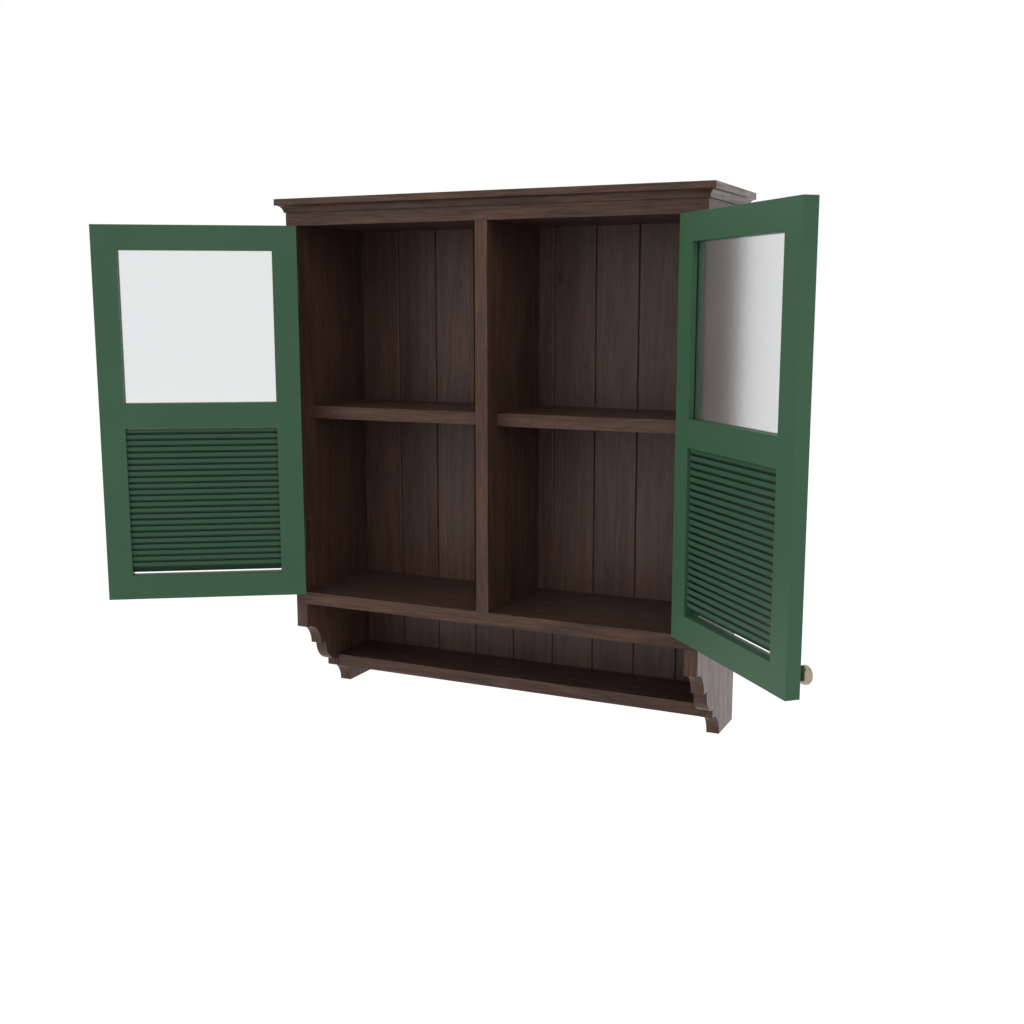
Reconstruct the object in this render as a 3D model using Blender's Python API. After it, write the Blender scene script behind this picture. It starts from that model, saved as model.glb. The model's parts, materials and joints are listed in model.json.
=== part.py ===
"""Wall-hung cabinet: two bays behind glazed and louvred doors, over an open shelf on shaped brackets.

The doors stand open. X runs along the wall to the right, Y into the wall and Z up. The origin lies on the
wall plane, in the middle of the width and level with the underside of the bottom board. Sizes are in metres.
"""

import math

import bmesh
import bpy
from mathutils import Matrix, Vector

# Carcass
WIDTH = 0.680  # outside faces of the side panels
DEPTH = 0.201  # front edges to the wall
BOARD = 0.020  # thickness of the carcass boards
OPENING_HEIGHT = 0.584  # clear height between the bottom and top boards
SHELF_SETBACK = 0.0125  # shelf front behind the closed doors

# Tongue joints between the carcass boards
TONGUE_THICKNESS = 0.008
TONGUE_LENGTH = 0.006
TONGUE_STOP = 0.012  # solid wood left before a tongue at each edge

# Brackets under the cabinet, from the front edge down
BRACKET_LAND = 0.0395  # straight front edge
COVE_LEDGE = 0.002  # flat soffit before a cove
COVE_RADIUS = 0.0365
BRACKET_STEP = 0.0135  # flat soffit between the first cove and the round
ROUND_LAND = 0.003  # straight edge above the round
ROUND_RADIUS = 0.035
FILLET_HEIGHT = 0.013
LOW_SHELF_SETBACK = 0.001  # front of the lower shelf behind the fillet

# Back of tongued and grooved boards
BACK_THICKNESS = 0.012
BACK_BOARD_COUNT = 9
BACK_VEE = 0.0014  # chamfer along each seam
BACK_TONGUE_THICKNESS = 0.004
BACK_TONGUE_LENGTH = 0.004

# Cornice moulding on the top board
CORNICE_SEAT = 0.022  # width that rests on the top board
CORNICE_FOOT = 0.0023
CORNICE_COVE_WIDTH = 0.0093
CORNICE_COVE_HEIGHT = 0.0106
CORNICE_SOFFIT = 0.0013
CORNICE_CAP = 0.0098

# Doors
LEFT_DOOR_ANGLE = math.radians(147.5)  # opened from shut
RIGHT_DOOR_ANGLE = math.radians(133.5)
DOOR_GAP = 0.001
DOOR_THICKNESS = 0.020
STILE = 0.038
RAIL = 0.038
MIDDLE_RAIL = 0.039
TENON_LENGTH = 0.014
TENON_THICKNESS = 0.007
TENON_SHOULDER = 0.008
PANE_THICKNESS = 0.004
PANE_GROOVE = 0.006

# Louvres
SLAT_EDGE = 0.0057  # height of the plumb edges
SLAT_SLOPE = math.radians(40.6)
SLAT_PITCH = 0.00968
SLAT_INNER_REVEAL = 0.004  # slat edges back from the inner face of the door
SLAT_OUTER_REVEAL = 0.002
SLAT_TOP_GAP = 0.0004
LOUVRE_BOTTOM_GAP = 0.002  # least see-through gap under the last slat
LOUVRE_STRIP = 0.004  # strips that carry the slat ends in the stiles
LOUVRE_STRIP_MARGIN = 0.0003

# Butt hinges
HINGE_LENGTH = 0.050
HINGE_INSET = 0.090  # end of the door to the middle of a hinge
LEAF_WIDTH = 0.014
LEAF_THICKNESS = 0.0012
BARREL_RADIUS = 0.0024
PIN_RADIUS = 0.001
PIN_CLEARANCE = 0.0001
PIN_FORWARD = 0.0004  # hinge axis in front of the front edges
PIN_HEAD_RADIUS = 0.0016
PIN_HEAD_HEIGHT = 0.0012

# Knobs
KNOB_HEIGHT = 0.0233  # above the lower end of the door
KNOB_HEAD_RADIUS = 0.0124
KNOB_HEAD_MIDDLE = 0.0185  # widest part of the head out from the door
KNOB_BACK = 0.0115  # swell of the head behind its widest part
KNOB_DOME = 0.0072  # swell of the head in front of it
KNOB_NECK_RADIUS = 0.0047
KNOB_BASE_RADIUS = 0.0072
KNOB_BASE_HEIGHT = 0.0018
KNOB_STUD_RADIUS = 0.002
KNOB_STUD_LENGTH = 0.010

# Round magnets that hold the doors shut
MAGNET_RADIUS = 0.003
MAGNET_LENGTH = 0.005

# Keyhole plates for the wall screws
HANGER_DROP = 0.045  # top of a side panel to the middle of its plate
HANGER_WIDTH = 0.014
HANGER_HEIGHT = 0.044
HANGER_THICKNESS = 0.002
KEYHOLE_RADIUS = 0.0045
KEYHOLE_SLOT = 0.0046
KEYHOLE_RISE = 0.013
SCREW_POCKET_DEPTH = 0.012
SCREW_POCKET_MARGIN = 0.001

# Clearances
JOINT_GAP = 0.0003
OVERCUT = 0.002  # how far a cut runs past the face that it opens

# Finishes: base colour, roughness, metallic
FINISHES = {
    "stained_wood": ((0.068, 0.036, 0.025, 1.0), 0.45, 0.0),
    "green_paint": ((0.042, 0.101, 0.056, 1.0), 0.40, 0.0),
    "frosted_glass": ((0.82, 0.83, 0.84, 1.0), 0.45, 0.0),
    "pale_brass": ((0.42, 0.37, 0.27, 1.0), 0.28, 1.0),
    "dark_bronze": ((0.062, 0.035, 0.025, 1.0), 0.45, 0.4),
    "steel": ((0.50, 0.50, 0.51, 1.0), 0.35, 1.0),
}

# Levels and faces that follow from the sizes above
FRONT = -DEPTH
INNER_FACE = WIDTH / 2 - BOARD
BACK_FACE = -BACK_THICKNESS
OPENING_BOTTOM = BOARD
OPENING_TOP = OPENING_BOTTOM + OPENING_HEIGHT
CARCASS_TOP = OPENING_TOP + BOARD
MIDDLE = OPENING_BOTTOM + OPENING_HEIGHT / 2
FILLET_FACE = FRONT + COVE_LEDGE + COVE_RADIUS + BRACKET_STEP + ROUND_RADIUS
FILLET_BOTTOM = -BRACKET_LAND - COVE_RADIUS - ROUND_LAND - ROUND_RADIUS - FILLET_HEIGHT
BRACKET_BOTTOM = FILLET_BOTTOM - COVE_RADIUS
LOW_SHELF_FRONT = FILLET_FACE + LOW_SHELF_SETBACK
SHELF_FRONT = FRONT + DOOR_THICKNESS + SHELF_SETBACK
BAY_WIDTH = INNER_FACE - BOARD / 2
DOOR_WIDTH = BAY_WIDTH - 2 * DOOR_GAP
DOOR_BOTTOM = OPENING_BOTTOM + DOOR_GAP
DOOR_TOP = OPENING_TOP - DOOR_GAP
DOOR_MIDDLE = FRONT + DOOR_THICKNESS / 2
HINGE_EDGE = INNER_FACE - DOOR_GAP
LOUVRE_BOTTOM = DOOR_BOTTOM + RAIL
LOUVRE_TOP = MIDDLE - MIDDLE_RAIL / 2
PANE_BOTTOM = MIDDLE + MIDDLE_RAIL / 2
PANE_TOP = DOOR_TOP - RAIL
AXIS_X = INNER_FACE - DOOR_GAP / 2
AXIS_Y = FRONT - PIN_FORWARD
HINGE_LEVELS = {"upper": DOOR_TOP - HINGE_INSET, "lower": DOOR_BOTTOM + HINGE_INSET}

SIDES = {"left": -1, "right": 1}


# Modelling tools

def solid(name, points, faces):
    """Add a closed mesh object with its faces pointing out."""
    mesh = bpy.data.meshes.new(name)
    mesh.from_pydata(points, [], faces)
    bm = bmesh.new()
    bm.from_mesh(mesh)
    bmesh.ops.recalc_face_normals(bm, faces=bm.faces)
    bm.to_mesh(mesh)
    bm.free()
    item = bpy.data.objects.new(name, mesh)
    bpy.context.scene.collection.objects.link(item)
    return item


def loft(name, first, last):
    """Solid between two rings whose points correspond one to one."""
    count = len(first)
    faces = [tuple(range(count)), tuple(range(count, 2 * count))]
    for k in range(count):
        after = (k + 1) % count
        faces.append((k, after, count + after, count + k))
    return solid(name, list(first) + list(last), faces)


def prism(name, outline, axis, low, high):
    """Flat outline extruded along an axis; the outline lies in the other two axes, in alphabetical order."""
    def lift(level):
        if axis == "X":
            return [(level, a, b) for a, b in outline]
        if axis == "Y":
            return [(a, level, b) for a, b in outline]
        return [(a, b, level) for a, b in outline]
    return loft(name, lift(low), lift(high))


def box(name, xs, ys, zs):
    """Block between two limits on each axis, given in either order."""
    x0, x1 = sorted(xs)
    y0, y1 = sorted(ys)
    z0, z1 = sorted(zs)
    outline = [(x0, y0), (x1, y0), (x1, y1), (x0, y1)]
    return prism(name, outline, "Z", z0, z1)


def arc(centre, radii, start, end, steps):
    """Points on an elliptical arc between two angles in degrees, ends included."""
    points = []
    for k in range(steps + 1):
        angle = math.radians(start + (end - start) * k / steps)
        points.append((centre[0] + radii[0] * math.cos(angle), centre[1] + radii[1] * math.sin(angle)))
    return points


def rod(name, centre, radius, axis, low, high, segments=20):
    """Round bar along an axis; the centre is given in the other two axes."""
    return prism(name, arc(centre, (radius, radius), 0, 360, segments)[:-1], axis, low, high)


def turned(name, profile, centre, segments):
    """Turned solid that points out of a door face, from pairs of radius and distance out."""
    points = [(centre[0], centre[1] - profile[0][1], centre[2])]
    for radius, out in profile[1:-1]:
        for k in range(segments):
            angle = 2 * math.pi * k / segments
            x = centre[0] + radius * math.cos(angle)
            z = centre[2] + radius * math.sin(angle)
            points.append((x, centre[1] - out, z))
    points.append((centre[0], centre[1] - profile[-1][1], centre[2]))
    faces = []
    rings = len(profile) - 2
    tip = len(points) - 1
    for k in range(segments):
        after = (k + 1) % segments
        faces.append((0, 1 + k, 1 + after))
        for ring in range(rings - 1):
            base = 1 + ring * segments
            faces.append((base + k, base + segments + k, base + segments + after, base + after))
        last = 1 + (rings - 1) * segments
        faces.append((last + k, tip, last + after))
    return solid(name, points, faces)


def combine(target, operation, tools):
    """Join the tools to the target, or cut them away from it, and remove them."""
    for tool in tools:
        step = target.modifiers.new(operation.title(), "BOOLEAN")
        step.operation = operation
        step.solver = "EXACT"
        step.object = tool
    graph = bpy.context.evaluated_depsgraph_get()
    shaped = bpy.data.meshes.new_from_object(target.evaluated_get(graph))
    blank = target.data
    target.modifiers.clear()
    target.data = shaped
    bpy.data.meshes.remove(blank)
    shaped.name = target.name
    for tool in tools:
        mesh = tool.data
        bpy.data.objects.remove(tool)
        bpy.data.meshes.remove(mesh)
    return target


def cut(target, *tools):
    return combine(target, "DIFFERENCE", tools)


def join(target, *tools):
    return combine(target, "UNION", tools)


def grown(limits, amount):
    """Limits in order, moved apart by an amount at each end."""
    low, high = sorted(limits)
    return (low - amount, high + amount)


def around(middle, size):
    return (middle - size / 2, middle + size / 2)


def tongue(side_face, direction, axis, across, along, cutter):
    """Block of a stopped tongue on a face at a level of an axis, or the cutter of the groove that takes it.

    The tongue runs from just inside its own board to its tip. The groove is wider by the joint gap and opens
    past the face of the other board. Across and along are the limits on the other axes, in alphabetical order.
    """
    if cutter:
        reach = (side_face - direction * OVERCUT, side_face + direction * (TONGUE_LENGTH + JOINT_GAP))
        across = grown(across, JOINT_GAP)
        along = grown(along, JOINT_GAP)
    else:
        reach = (side_face - direction * OVERCUT, side_face + direction * TONGUE_LENGTH)
    if axis == "X":
        return box("tongue", reach, across, along)
    return box("tongue", across, along, reach)


# Places of the tongues: sorted limits shared by a board and the one that it enters

TONGUE_RUN = (FRONT + TONGUE_STOP, BACK_FACE - TONGUE_STOP)
SHELF_TONGUE_RUN = (SHELF_FRONT + TONGUE_STOP, BACK_FACE - TONGUE_STOP)
LOW_SHELF_TONGUE_RUN = (LOW_SHELF_FRONT + TONGUE_STOP, BACK_FACE - TONGUE_STOP)
LOW_SHELF_MIDDLE = FILLET_BOTTOM + BOARD / 2
SIDE_MIDDLE = INNER_FACE + BOARD / 2


def upright_tongues(middle, levels, cutter):
    """Tongues at the ends of an upright board: one for each (level, direction)."""
    across = around(middle, TONGUE_THICKNESS)
    return [tongue(level, direction, "Z", across, TONGUE_RUN, cutter) for level, direction in levels]


# Carcass

def notched_outline():
    """Plan of a full-width board, with its back edge cut away for the back boards."""
    half = WIDTH / 2
    notch = INNER_FACE + JOINT_GAP
    rear = BACK_FACE - JOINT_GAP
    right = [(half, FRONT), (half, 0), (notch, 0), (notch, rear)]
    left = [(-x, y) for x, y in reversed(right)]
    return right + left


def build_bottom_board():
    board = prism("bottom_board", notched_outline(), "Z", 0, OPENING_BOTTOM)
    cuts = upright_tongues(0, [(OPENING_BOTTOM, -1)], True)
    for side in SIDES.values():
        cuts += upright_tongues(side * SIDE_MIDDLE, [(OPENING_BOTTOM, -1), (0, 1)], True)
    return cut(board, *cuts)


def build_top_board():
    board = prism("top_board", notched_outline(), "Z", OPENING_TOP, CARCASS_TOP)
    cuts = upright_tongues(0, [(OPENING_TOP, 1)], True)
    for side in SIDES.values():
        cuts += upright_tongues(side * SIDE_MIDDLE, [(OPENING_TOP, 1)], True)
        bore = (OPENING_TOP - OVERCUT, OPENING_TOP + MAGNET_LENGTH + 2 * JOINT_GAP)
        cuts.append(rod("bore", magnet_place(side), MAGNET_RADIUS + JOINT_GAP, "Z", *bore))
    return cut(board, *cuts)


def build_side_panel(label, side):
    low = OPENING_BOTTOM + JOINT_GAP
    high = OPENING_TOP - JOINT_GAP
    panel = box(f"{label}_side_panel", (side * INNER_FACE, side * WIDTH / 2), (FRONT, 0), (low, high))
    join(panel, *upright_tongues(side * SIDE_MIDDLE, [(low, -1), (high, 1)], False))
    cuts = [shelf_tongue(side * INNER_FACE, side, True)]
    for level in HINGE_LEVELS.values():
        cuts += hinge_pocket(side, level, INNER_FACE, 1)
    cuts += hanger_pocket(side)
    return cut(panel, *cuts)


def build_divider():
    low = OPENING_BOTTOM + JOINT_GAP
    high = OPENING_TOP - JOINT_GAP
    divider = box("centre_divider", around(0, BOARD), (FRONT, BACK_FACE - JOINT_GAP), (low, high))
    join(divider, *upright_tongues(0, [(low, -1), (high, 1)], False))
    return cut(divider, *[shelf_tongue(side * BOARD / 2, -side, True) for side in SIDES.values()])


def shelf_tongue(face, direction, cutter):
    """End tongue of a bay shelf, or its groove, at a side panel or the divider."""
    return tongue(face, direction, "X", SHELF_TONGUE_RUN, around(MIDDLE, TONGUE_THICKNESS), cutter)


def build_shelf(label, side):
    outer = side * (INNER_FACE - JOINT_GAP)
    inner = side * (BOARD / 2 + JOINT_GAP)
    shelf = box(f"{label}_shelf", (inner, outer), (SHELF_FRONT, BACK_FACE - JOINT_GAP), around(MIDDLE, BOARD))
    return join(shelf, shelf_tongue(outer, side, False), shelf_tongue(inner, -side, False))


def low_shelf_tongue(face, direction, cutter):
    """End tongue of the lower shelf, or its groove, at a bracket."""
    along = around(LOW_SHELF_MIDDLE, TONGUE_THICKNESS)
    return tongue(face, direction, "X", LOW_SHELF_TONGUE_RUN, along, cutter)


def build_low_shelf():
    half = INNER_FACE - JOINT_GAP
    depth = (LOW_SHELF_FRONT, BACK_FACE - JOINT_GAP)
    shelf = box("lower_shelf", (-half, half), depth, around(LOW_SHELF_MIDDLE, BOARD))
    return join(shelf, *[low_shelf_tongue(side * half, side, False) for side in SIDES.values()])


def bracket_outline():
    """Side view of a bracket, from its front edge down to the wall: cove, step, round, fillet, cove."""
    def cove(y, z):
        return arc((y + COVE_LEDGE, z - COVE_RADIUS), (COVE_RADIUS, COVE_RADIUS), 90, 0, 10)

    round_top = -BRACKET_LAND - COVE_RADIUS
    round_centre = (FILLET_FACE, round_top - ROUND_LAND)
    points = [(0, -JOINT_GAP), (FRONT, -JOINT_GAP), (FRONT, -BRACKET_LAND)]
    points += cove(FRONT, -BRACKET_LAND)
    points.append((FILLET_FACE - ROUND_RADIUS, round_top))
    points += arc(round_centre, (ROUND_RADIUS, ROUND_RADIUS), 180, 270, 10)
    points.append((FILLET_FACE, FILLET_BOTTOM))
    points += cove(FILLET_FACE, FILLET_BOTTOM)
    points.append((0, BRACKET_BOTTOM))
    return points


def build_bracket(label, side):
    bracket = prism(f"{label}_bracket", bracket_outline(), "X", side * INNER_FACE, side * WIDTH / 2)
    join(bracket, *upright_tongues(side * SIDE_MIDDLE, [(-JOINT_GAP, 1)], False))
    return cut(bracket, low_shelf_tongue(side * INNER_FACE, side, True))


def build_back_boards():
    """Vertical boards from the lower shelf to the top, tongued on the right and grooved on the left."""
    pitch = 2 * INNER_FACE / BACK_BOARD_COUNT
    middle = BACK_FACE / 2
    half = BACK_TONGUE_THICKNESS / 2
    groove = half + JOINT_GAP
    boards = []
    for k in range(BACK_BOARD_COUNT):
        left = -INNER_FACE + k * pitch + JOINT_GAP / 2
        right = left + pitch - JOINT_GAP
        points = [(left, 0)]
        if k == 0:
            points.append((left, BACK_FACE))
        else:
            floor = left + BACK_TONGUE_LENGTH + JOINT_GAP
            points += [(left, middle + groove), (floor, middle + groove)]
            points += [(floor, middle - groove), (left, middle - groove)]
            points += [(left, BACK_FACE + BACK_VEE), (left + BACK_VEE, BACK_FACE)]
        if k == BACK_BOARD_COUNT - 1:
            points.append((right, BACK_FACE))
        else:
            tip = right + BACK_TONGUE_LENGTH
            points += [(right - BACK_VEE, BACK_FACE), (right, BACK_FACE + BACK_VEE)]
            points += [(right, middle - half), (tip, middle - half)]
            points += [(tip, middle + half), (right, middle + half)]
        points.append((right, 0))
        boards.append(prism(f"back_board_{k + 1}", points, "Z", FILLET_BOTTOM, CARCASS_TOP))
    return boards


def cornice_profile():
    """Section of the moulding: distance out from the carcass and height."""
    bottom = CARCASS_TOP + JOINT_GAP
    soffit = bottom + CORNICE_COVE_HEIGHT
    top = soffit + CORNICE_CAP
    edge = CORNICE_FOOT + CORNICE_COVE_WIDTH
    lip = edge + CORNICE_SOFFIT
    points = [(-CORNICE_SEAT, bottom)]
    points += arc((edge, bottom), (CORNICE_COVE_WIDTH, CORNICE_COVE_HEIGHT), 180, 90, 8)
    points += [(lip, soffit), (lip, top), (-CORNICE_SEAT, top)]
    return points


def build_cornice():
    """Front moulding and two returns, mitred at the corners."""
    profile = cornice_profile()
    ends = {}
    for label, side in SIDES.items():
        ends[label] = [(side * (WIDTH / 2 + out - JOINT_GAP), FRONT - out, z) for out, z in profile]
    pieces = [loft("cornice_front", ends["left"], ends["right"])]
    for label, side in SIDES.items():
        mitre = [(side * (WIDTH / 2 + out), FRONT - out + JOINT_GAP, z) for out, z in profile]
        square = [(x, 0, z) for x, y, z in mitre]
        pieces.append(loft(f"cornice_{label}", mitre, square))
    return pieces


# Wall fixing

def hanger_middle():
    return OPENING_TOP - HANGER_DROP


def hanger_pocket(side):
    """Recess for a keyhole plate in the back edge of a side panel, with a pocket for the screw head."""
    middle = hanger_middle()
    seat = -HANGER_THICKNESS - 2 * JOINT_GAP
    across = grown(around(side * SIDE_MIDDLE, HANGER_WIDTH), JOINT_GAP)
    recess = box("recess", across, (seat, OVERCUT), grown(around(middle, HANGER_HEIGHT), JOINT_GAP))
    head = 2 * (KEYHOLE_RADIUS + SCREW_POCKET_MARGIN)
    rise = (keyhole_level() - head / 2, keyhole_level() + KEYHOLE_RISE + head / 2)
    pocket = box("pocket", around(side * SIDE_MIDDLE, head), (-SCREW_POCKET_DEPTH, seat + OVERCUT), rise)
    return [recess, pocket]


def keyhole_level():
    """Centre of the round end of a keyhole, which sits below the middle of its plate."""
    return hanger_middle() - KEYHOLE_RISE / 2


def build_hanger(label, side):
    depth = (-HANGER_THICKNESS - JOINT_GAP, -JOINT_GAP)
    plate = box(f"{label}_hanger_plate", around(side * SIDE_MIDDLE, HANGER_WIDTH), depth,
                around(hanger_middle(), HANGER_HEIGHT))
    level = keyhole_level()
    top = level + KEYHOLE_RISE
    half = KEYHOLE_SLOT / 2
    start = math.degrees(math.asin(half / KEYHOLE_RADIUS))
    outline = arc((side * SIDE_MIDDLE, level), (KEYHOLE_RADIUS, KEYHOLE_RADIUS), 90 + start, 450 - start, 20)
    outline += arc((side * SIDE_MIDDLE, top), (half, half), 0, 180, 8)
    keyhole = prism("keyhole", outline, "Y", -HANGER_THICKNESS - OVERCUT, OVERCUT)
    return cut(plate, keyhole)


# Door catches

def magnet_place(side):
    """Middle of the lock stile's top end with the door shut."""
    return (side * (HINGE_EDGE - DOOR_WIDTH + STILE / 2), DOOR_MIDDLE)


def build_top_magnet(label, side):
    low = OPENING_TOP + JOINT_GAP
    return rod(f"{label}_top_magnet", magnet_place(side), MAGNET_RADIUS, "Z", low, low + MAGNET_LENGTH)


# Hinges

def knuckles(level, own_middle):
    """Height limits of a leaf's knuckles: the middle one of three, or the outer two."""
    third = HINGE_LENGTH / 3
    bottoms = [level - HINGE_LENGTH / 2 + k * third for k in range(3)]
    chosen = [bottoms[1]] if own_middle else [bottoms[0], bottoms[2]]
    return [grown((bottom, bottom + third), -JOINT_GAP / 2) for bottom in chosen]


def hinge_pocket(side, level, face, direction):
    """Cutters for one leaf and for the barrel and pin heads, in a face that the leaf lies flush with."""
    run = grown(around(level, HINGE_LENGTH), JOINT_GAP)
    barrel_run = grown(run, PIN_HEAD_HEIGHT + 2 * JOINT_GAP)
    depth = direction * (LEAF_THICKNESS + JOINT_GAP)
    leaf = box("pocket", (side * (face - direction * DOOR_GAP / 2), side * (face + depth)),
               (FRONT - OVERCUT, FRONT + LEAF_WIDTH + JOINT_GAP), run)
    barrel = rod("pocket", (side * AXIS_X, AXIS_Y), BARREL_RADIUS + JOINT_GAP, "Z", *barrel_run, segments=24)
    return [leaf, barrel]


def build_leaf(name, side, level, face, direction, own_middle):
    """Hinge leaf flush with a face, with its knuckles rolled round the pin."""
    plate_front = AXIS_Y + BARREL_RADIUS + JOINT_GAP
    width = (side * face, side * (face + direction * LEAF_THICKNESS))
    leaf = box(name, width, (plate_front, FRONT + LEAF_WIDTH), around(level, HINGE_LENGTH))
    parts = []
    for run in knuckles(level, own_middle):
        parts.append(box("web", width, (AXIS_Y, plate_front + OVERCUT), run))
        parts.append(rod("knuckle", (side * AXIS_X, AXIS_Y), BARREL_RADIUS, "Z", *run))
    join(leaf, *parts)
    bore_run = grown(around(level, HINGE_LENGTH), OVERCUT)
    return cut(leaf, rod("bore", (side * AXIS_X, AXIS_Y), PIN_RADIUS + PIN_CLEARANCE, "Z", *bore_run))


def build_pin(name, side, level):
    centre = (side * AXIS_X, AXIS_Y)
    low, high = around(level, HINGE_LENGTH)
    pin = rod(name, centre, PIN_RADIUS, "Z", *grown((low, high), PIN_HEAD_HEIGHT / 2))
    heads = []
    for end, direction in ((low, -1), (high, 1)):
        seat = end + direction * JOINT_GAP
        run = sorted((seat, seat + direction * PIN_HEAD_HEIGHT))
        heads.append(rod("head", centre, PIN_HEAD_RADIUS, "Z", *run))
    return join(pin, *heads)


# Doors, modelled shut

def door_span(side, start, end):
    """X limits between two distances from the hinge edge of a door."""
    return (side * (HINGE_EDGE - start), side * (HINGE_EDGE - end))


DOOR_FACES = (FRONT, FRONT + DOOR_THICKNESS)
RAIL_LIMITS = {
    "bottom": (DOOR_BOTTOM, LOUVRE_BOTTOM),
    "middle": (LOUVRE_TOP, PANE_BOTTOM),
    "top": (PANE_TOP, DOOR_TOP),
}


def pane_groove(side, reach, zs):
    """Cutter for the groove that holds the pane, with its reach given as distances from the hinge edge."""
    return box("groove", door_span(side, *reach), around(DOOR_MIDDLE, PANE_THICKNESS + 2 * JOINT_GAP), zs)


SLAT_FACES = (FRONT + SLAT_OUTER_REVEAL, FRONT + DOOR_THICKNESS - SLAT_INNER_REVEAL)
SLAT_DROP = (SLAT_FACES[1] - SLAT_FACES[0]) * math.tan(SLAT_SLOPE)
STRIP_FACES = grown(SLAT_FACES, LOUVRE_STRIP_MARGIN)


def build_stile(name, side, outer, edge, inward):
    """Upright of a door frame from its outer edge to the edge that takes the rails, pane and louvres."""
    stile = box(name, door_span(side, outer, edge), DOOR_FACES, (DOOR_BOTTOM, DOOR_TOP))
    mouth = edge + inward * OVERCUT
    cuts = []
    for limits in RAIL_LIMITS.values():
        floor = edge - inward * (TENON_LENGTH + JOINT_GAP)
        tenon = grown(limits, JOINT_GAP - TENON_SHOULDER)
        cuts.append(box("mortise", door_span(side, floor, mouth),
                        around(DOOR_MIDDLE, TENON_THICKNESS + 2 * JOINT_GAP), tenon))
    pane_run = grown((PANE_BOTTOM, PANE_TOP), PANE_GROOVE)
    cuts.append(pane_groove(side, (edge - inward * PANE_GROOVE, mouth), pane_run))
    strip_floor = edge - inward * (LOUVRE_STRIP + JOINT_GAP)
    cuts.append(box("groove", door_span(side, strip_floor, mouth),
                    grown(STRIP_FACES, JOINT_GAP), (LOUVRE_BOTTOM, LOUVRE_TOP)))
    return cut(stile, *cuts)


def build_hinge_stile(label, side):
    stile = build_stile(f"{label}_door_hinge_stile", side, 0, STILE, 1)
    cuts = []
    for level in HINGE_LEVELS.values():
        cuts += hinge_pocket(side, level, HINGE_EDGE, -1)
    return cut(stile, *cuts)


def knob_place(side):
    return (side * (HINGE_EDGE - DOOR_WIDTH + STILE / 2), DOOR_BOTTOM + KNOB_HEIGHT)


def build_lock_stile(label, side):
    stile = build_stile(f"{label}_door_lock_stile", side, DOOR_WIDTH, DOOR_WIDTH - STILE, -1)
    stud_end = FRONT + KNOB_STUD_LENGTH + JOINT_GAP
    stud = rod("bore", knob_place(side), KNOB_STUD_RADIUS + JOINT_GAP, "Y", FRONT - OVERCUT, stud_end)
    magnet_floor = DOOR_TOP - MAGNET_LENGTH - 2 * JOINT_GAP
    magnet = rod("bore", magnet_place(side), MAGNET_RADIUS + JOINT_GAP, "Z", magnet_floor, DOOR_TOP + OVERCUT)
    return cut(stile, stud, magnet)


def build_rail(label, side, place):
    limits = RAIL_LIMITS[place]
    shoulders = door_span(side, STILE + JOINT_GAP, DOOR_WIDTH - STILE - JOINT_GAP)
    rail = box(f"{label}_door_{place}_rail", shoulders, DOOR_FACES, limits)
    tenon = box("tenon", door_span(side, STILE - TENON_LENGTH, DOOR_WIDTH - STILE + TENON_LENGTH),
                around(DOOR_MIDDLE, TENON_THICKNESS), grown(limits, -TENON_SHOULDER))
    join(rail, tenon)
    reach = (STILE, DOOR_WIDTH - STILE)
    if place == "top":
        cut(rail, pane_groove(side, reach, (PANE_TOP - OVERCUT, PANE_TOP + PANE_GROOVE)))
    if place == "middle":
        cut(rail, pane_groove(side, reach, (PANE_BOTTOM - PANE_GROOVE, PANE_BOTTOM + OVERCUT)))
    return rail


def build_pane(label, side):
    hold = PANE_GROOVE - JOINT_GAP
    return box(f"{label}_door_glass", door_span(side, STILE - hold, DOOR_WIDTH - STILE + hold),
               around(DOOR_MIDDLE, PANE_THICKNESS), grown((PANE_BOTTOM, PANE_TOP), hold))


def slat_outline(level):
    """Section of a slat with plumb edges, which falls from its inner edge to its outer edge."""
    outer, inner = SLAT_FACES
    low = level - SLAT_DROP
    return [(inner, level), (outer, low), (outer, low - SLAT_EDGE), (inner, level - SLAT_EDGE)]


def build_louvre(label, side):
    """Sloping slats between two strips that lie in the grooves of the stiles."""
    top = LOUVRE_TOP - SLAT_TOP_GAP
    room = top - SLAT_DROP - SLAT_EDGE - LOUVRE_BOTTOM - LOUVRE_BOTTOM_GAP
    count = int(room / SLAT_PITCH) + 1
    span = sorted(door_span(side, STILE - LOUVRE_STRIP / 2, DOOR_WIDTH - STILE + LOUVRE_STRIP / 2))
    zs = grown((LOUVRE_BOTTOM, LOUVRE_TOP), -JOINT_GAP)
    louvre = box(f"{label}_door_louvre", door_span(side, STILE - LOUVRE_STRIP, STILE), STRIP_FACES, zs)
    far = door_span(side, DOOR_WIDTH - STILE, DOOR_WIDTH - STILE + LOUVRE_STRIP)
    parts = [box("strip", far, STRIP_FACES, zs)]
    for k in range(count):
        parts.append(prism("slat", slat_outline(top - k * SLAT_PITCH), "X", *span))
    return join(louvre, *parts)


def knob_profile():
    """Half section of a knob: stud, base, neck and swelling head, as (radius, distance out)."""
    points = [(0, -KNOB_STUD_LENGTH), (KNOB_STUD_RADIUS, -KNOB_STUD_LENGTH), (KNOB_STUD_RADIUS, JOINT_GAP)]
    points += [(KNOB_BASE_RADIUS, JOINT_GAP), (KNOB_BASE_RADIUS, KNOB_BASE_HEIGHT)]
    neck_end = -math.degrees(math.acos(KNOB_NECK_RADIUS / KNOB_HEAD_RADIUS))
    middle = (0, KNOB_HEAD_MIDDLE)
    points.append((KNOB_NECK_RADIUS, KNOB_BASE_HEIGHT))
    points += arc(middle, (KNOB_HEAD_RADIUS, KNOB_BACK), neck_end, 0, 6)
    points += arc(middle, (KNOB_HEAD_RADIUS, KNOB_DOME), 0, 90, 6)[1:-1]
    points.append((0, KNOB_HEAD_MIDDLE + KNOB_DOME))
    return points


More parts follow.
